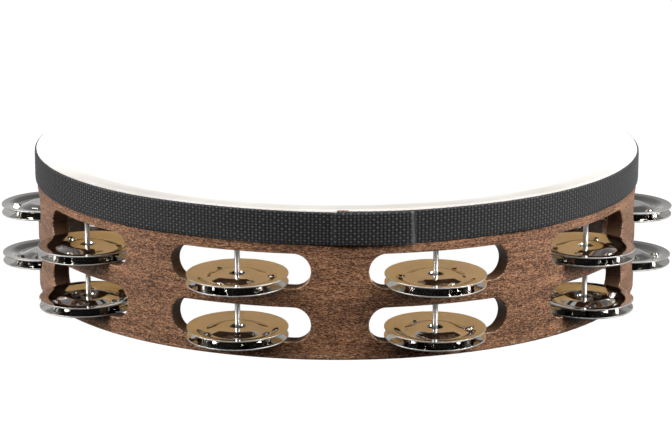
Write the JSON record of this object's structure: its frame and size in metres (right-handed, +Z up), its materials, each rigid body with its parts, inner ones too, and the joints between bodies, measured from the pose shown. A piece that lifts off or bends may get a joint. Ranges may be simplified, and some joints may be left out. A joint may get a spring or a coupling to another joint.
{
  "type": "tambourine",
  "caption": "Round wooden double-row tambourine with a fixed white film head, a black webbing tape and pairs of steel jingles on pins.",
  "frame": {"origin": "middle of the bottom rim, at floor level", "axes": "+Z up towards the drum head, -Y the front, where the tape's ends lap, +X to the right through a column of jingles"},
  "size_m": [0.2868, 0.2746, 0.0594],
  "materials": {
    "walnut_shell": "stained, satin",
    "head_film": "white, satin",
    "webbing_tape": "woven polyester",
    "pin_steel": "bright",
    "jingle_steel": "polished stainless"
  },
  "bodies": {
    "frame": {"shell": "walnut_shell", "drum_head": "head_film", "head_tape": "webbing_tape", "pin_01": "pin_steel", "pin_02": "pin_steel", "pin_03": "pin_steel", "pin_04": "pin_steel", "pin_05": "pin_steel", "pin_06": "pin_steel", "pin_07": "pin_steel", "pin_08": "pin_steel", "pin_09": "pin_steel", "pin_10": "pin_steel"},
    "jingle_low_01_bottom": {"jingle_low_01_bottom": "jingle_steel"},
    "jingle_low_01_top": {"jingle_low_01_top": "jingle_steel"},
    "jingle_low_02_bottom": {"jingle_low_02_bottom": "jingle_steel"},
    "jingle_low_02_top": {"jingle_low_02_top": "jingle_steel"},
    "jingle_low_03_bottom": {"jingle_low_03_bottom": "jingle_steel"},
    "jingle_low_03_top": {"jingle_low_03_top": "jingle_steel"},
    "jingle_low_04_bottom": {"jingle_low_04_bottom": "jingle_steel"},
    "jingle_low_04_top": {"jingle_low_04_top": "jingle_steel"},
    "jingle_low_05_bottom": {"jingle_low_05_bottom": "jingle_steel"},
    "jingle_low_05_top": {"jingle_low_05_top": "jingle_steel"},
    "jingle_low_06_bottom": {"jingle_low_06_bottom": "jingle_steel"},
    "jingle_low_06_top": {"jingle_low_06_top": "jingle_steel"},
    "jingle_low_07_bottom": {"jingle_low_07_bottom": "jingle_steel"},
    "jingle_low_07_top": {"jingle_low_07_top": "jingle_steel"},
    "jingle_low_08_bottom": {"jingle_low_08_bottom": "jingle_steel"},
    "jingle_low_08_top": {"jingle_low_08_top": "jingle_steel"},
    "jingle_low_09_bottom": {"jingle_low_09_bottom": "jingle_steel"},
    "jingle_low_09_top": {"jingle_low_09_top": "jingle_steel"},
    "jingle_low_10_bottom": {"jingle_low_10_bottom": "jingle_steel"},
    "jingle_low_10_top": {"jingle_low_10_top": "jingle_steel"},
    "jingle_high_01_bottom": {"jingle_high_01_bottom": "jingle_steel"},
    "jingle_high_01_top": {"jingle_high_01_top": "jingle_steel"},
    "jingle_high_02_bottom": {"jingle_high_02_bottom": "jingle_steel"},
    "jingle_high_02_top": {"jingle_high_02_top": "jingle_steel"},
    "jingle_high_03_bottom": {"jingle_high_03_bottom": "jingle_steel"},
    "jingle_high_03_top": {"jingle_high_03_top": "jingle_steel"},
    "jingle_high_04_bottom": {"jingle_high_04_bottom": "jingle_steel"},
    "jingle_high_04_top": {"jingle_high_04_top": "jingle_steel"},
    "jingle_high_05_bottom": {"jingle_high_05_bottom": "jingle_steel"},
    "jingle_high_05_top": {"jingle_high_05_top": "jingle_steel"},
    "jingle_high_06_bottom": {"jingle_high_06_bottom": "jingle_steel"},
    "jingle_high_06_top": {"jingle_high_06_top": "jingle_steel"},
    "jingle_high_07_bottom": {"jingle_high_07_bottom": "jingle_steel"},
    "jingle_high_07_top": {"jingle_high_07_top": "jingle_steel"},
    "jingle_high_08_bottom": {"jingle_high_08_bottom": "jingle_steel"},
    "jingle_high_08_top": {"jingle_high_08_top": "jingle_steel"},
    "jingle_high_09_bottom": {"jingle_high_09_bottom": "jingle_steel"},
    "jingle_high_09_top": {"jingle_high_09_top": "jingle_steel"},
    "jingle_high_10_bottom": {"jingle_high_10_bottom": "jingle_steel"},
    "jingle_high_10_top": {"jingle_high_10_top": "jingle_steel"}
  },
  "joints": [
    {"name": "lift_low_01_bottom", "type": "slide", "parent": "frame", "child": "jingle_low_01_bottom", "axis": [0, 0, 1], "range_m": [0, 0.0046]},
    {"name": "lift_low_01_top", "type": "slide", "parent": "jingle_low_01_bottom", "child": "jingle_low_01_top", "axis": [0, 0, 1], "range_m": [0, 0.0046]},
    {"name": "lift_low_02_bottom", "type": "slide", "parent": "frame", "child": "jingle_low_02_bottom", "axis": [0, 0, 1], "range_m": [0, 0.0046]},
    {"name": "lift_low_02_top", "type": "slide", "parent": "jingle_low_02_bottom", "child": "jingle_low_02_top", "axis": [0, 0, 1], "range_m": [0, 0.0046]},
    {"name": "lift_low_03_bottom", "type": "slide", "parent": "frame", "child": "jingle_low_03_bottom", "axis": [0, 0, 1], "range_m": [0, 0.0046]},
    {"name": "lift_low_03_top", "type": "slide", "parent": "jingle_low_03_bottom", "child": "jingle_low_03_top", "axis": [0, 0, 1], "range_m": [0, 0.0046]},
    {"name": "lift_low_04_bottom", "type": "slide", "parent": "frame", "child": "jingle_low_04_bottom", "axis": [0, 0, 1], "range_m": [0, 0.0046]},
    {"name": "lift_low_04_top", "type": "slide", "parent": "jingle_low_04_bottom", "child": "jingle_low_04_top", "axis": [0, 0, 1], "range_m": [0, 0.0046]},
    {"name": "lift_low_05_bottom", "type": "slide", "parent": "frame", "child": "jingle_low_05_bottom", "axis": [0, 0, 1], "range_m": [0, 0.0046]},
    {"name": "lift_low_05_top", "type": "slide", "parent": "jingle_low_05_bottom", "child": "jingle_low_05_top", "axis": [0, 0, 1], "range_m": [0, 0.0046]},
    {"name": "lift_low_06_bottom", "type": "slide", "parent": "frame", "child": "jingle_low_06_bottom", "axis": [0, 0, 1], "range_m": [0, 0.0046]},
    {"name": "lift_low_06_top", "type": "slide", "parent": "jingle_low_06_bottom", "child": "jingle_low_06_top", "axis": [0, 0, 1], "range_m": [0, 0.0046]},
    {"name": "lift_low_07_bottom", "type": "slide", "parent": "frame", "child": "jingle_low_07_bottom", "axis": [0, 0, 1], "range_m": [0, 0.0046]},
    {"name": "lift_low_07_top", "type": "slide", "parent": "jingle_low_07_bottom", "child": "jingle_low_07_top", "axis": [0, 0, 1], "range_m": [0, 0.0046]},
    {"name": "lift_low_08_bottom", "type": "slide", "parent": "frame", "child": "jingle_low_08_bottom", "axis": [0, 0, 1], "range_m": [0, 0.0046]},
    {"name": "lift_low_08_top", "type": "slide", "parent": "jingle_low_08_bottom", "child": "jingle_low_08_top", "axis": [0, 0, 1], "range_m": [0, 0.0046]},
    {"name": "lift_low_09_bottom", "type": "slide", "parent": "frame", "child": "jingle_low_09_bottom", "axis": [0, 0, 1], "range_m": [0, 0.0046]},
    {"name": "lift_low_09_top", "type": "slide", "parent": "jingle_low_09_bottom", "child": "jingle_low_09_top", "axis": [0, 0, 1], "range_m": [0, 0.0046]},
    {"name": "lift_low_10_bottom", "type": "slide", "parent": "frame", "child": "jingle_low_10_bottom", "axis": [0, 0, 1], "range_m": [0, 0.0046]},
    {"name": "lift_low_10_top", "type": "slide", "parent": "jingle_low_10_bottom", "child": "jingle_low_10_top", "axis": [0, 0, 1], "range_m": [0, 0.0046]},
    {"name": "lift_high_01_bottom", "type": "slide", "parent": "frame", "child": "jingle_high_01_bottom", "axis": [0, 0, 1], "range_m": [0, 0.0046]},
    {"name": "lift_high_01_top", "type": "slide", "parent": "jingle_high_01_bottom", "child": "jingle_high_01_top", "axis": [0, 0, 1], "range_m": [0, 0.0046]},
    {"name": "lift_high_02_bottom", "type": "slide", "parent": "frame", "child": "jingle_high_02_bottom", "axis": [0, 0, 1], "range_m": [0, 0.0046]},
    {"name": "lift_high_02_top", "type": "slide", "parent": "jingle_high_02_bottom", "child": "jingle_high_02_top", "axis": [0, 0, 1], "range_m": [0, 0.0046]},
    {"name": "lift_high_03_bottom", "type": "slide", "parent": "frame", "child": "jingle_high_03_bottom", "axis": [0, 0, 1], "range_m": [0, 0.0046]},
    {"name": "lift_high_03_top", "type": "slide", "parent": "jingle_high_03_bottom", "child": "jingle_high_03_top", "axis": [0, 0, 1], "range_m": [0, 0.0046]},
    {"name": "lift_high_04_bottom", "type": "slide", "parent": "frame", "child": "jingle_high_04_bottom", "axis": [0, 0, 1], "range_m": [0, 0.0046]},
    {"name": "lift_high_04_top", "type": "slide", "parent": "jingle_high_04_bottom", "child": "jingle_high_04_top", "axis": [0, 0, 1], "range_m": [0, 0.0046]},
    {"name": "lift_high_05_bottom", "type": "slide", "parent": "frame", "child": "jingle_high_05_bottom", "axis": [0, 0, 1], "range_m": [0, 0.0046]},
    {"name": "lift_high_05_top", "type": "slide", "parent": "jingle_high_05_bottom", "child": "jingle_high_05_top", "axis": [0, 0, 1], "range_m": [0, 0.0046]},
    {"name": "lift_high_06_bottom", "type": "slide", "parent": "frame", "child": "jingle_high_06_bottom", "axis": [0, 0, 1], "range_m": [0, 0.0046]},
    {"name": "lift_high_06_top", "type": "slide", "parent": "jingle_high_06_bottom", "child": "jingle_high_06_top", "axis": [0, 0, 1], "range_m": [0, 0.0046]},
    {"name": "lift_high_07_bottom", "type": "slide", "parent": "frame", "child": "jingle_high_07_bottom", "axis": [0, 0, 1], "range_m": [0, 0.0046]},
    {"name": "lift_high_07_top", "type": "slide", "parent": "jingle_high_07_bottom", "child": "jingle_high_07_top", "axis": [0, 0, 1], "range_m": [0, 0.0046]},
    {"name": "lift_high_08_bottom", "type": "slide", "parent": "frame", "child": "jingle_high_08_bottom", "axis": [0, 0, 1], "range_m": [0, 0.0046]},
    {"name": "lift_high_08_top", "type": "slide", "parent": "jingle_high_08_bottom", "child": "jingle_high_08_top", "axis": [0, 0, 1], "range_m": [0, 0.0046]},
    {"name": "lift_high_09_bottom", "type": "slide", "parent": "frame", "child": "jingle_high_09_bottom", "axis": [0, 0, 1], "range_m": [0, 0.0046]},
    {"name": "lift_high_09_top", "type": "slide", "parent": "jingle_high_09_bottom", "child": "jingle_high_09_top", "axis": [0, 0, 1], "range_m": [0, 0.0046]},
    {"name": "lift_high_10_bottom", "type": "slide", "parent": "frame", "child": "jingle_high_10_bottom", "axis": [0, 0, 1], "range_m": [0, 0.0046]},
    {"name": "lift_high_10_top", "type": "slide", "parent": "jingle_high_10_bottom", "child": "jingle_high_10_top", "axis": [0, 0, 1], "range_m": [0, 0.0046]}
  ]
}
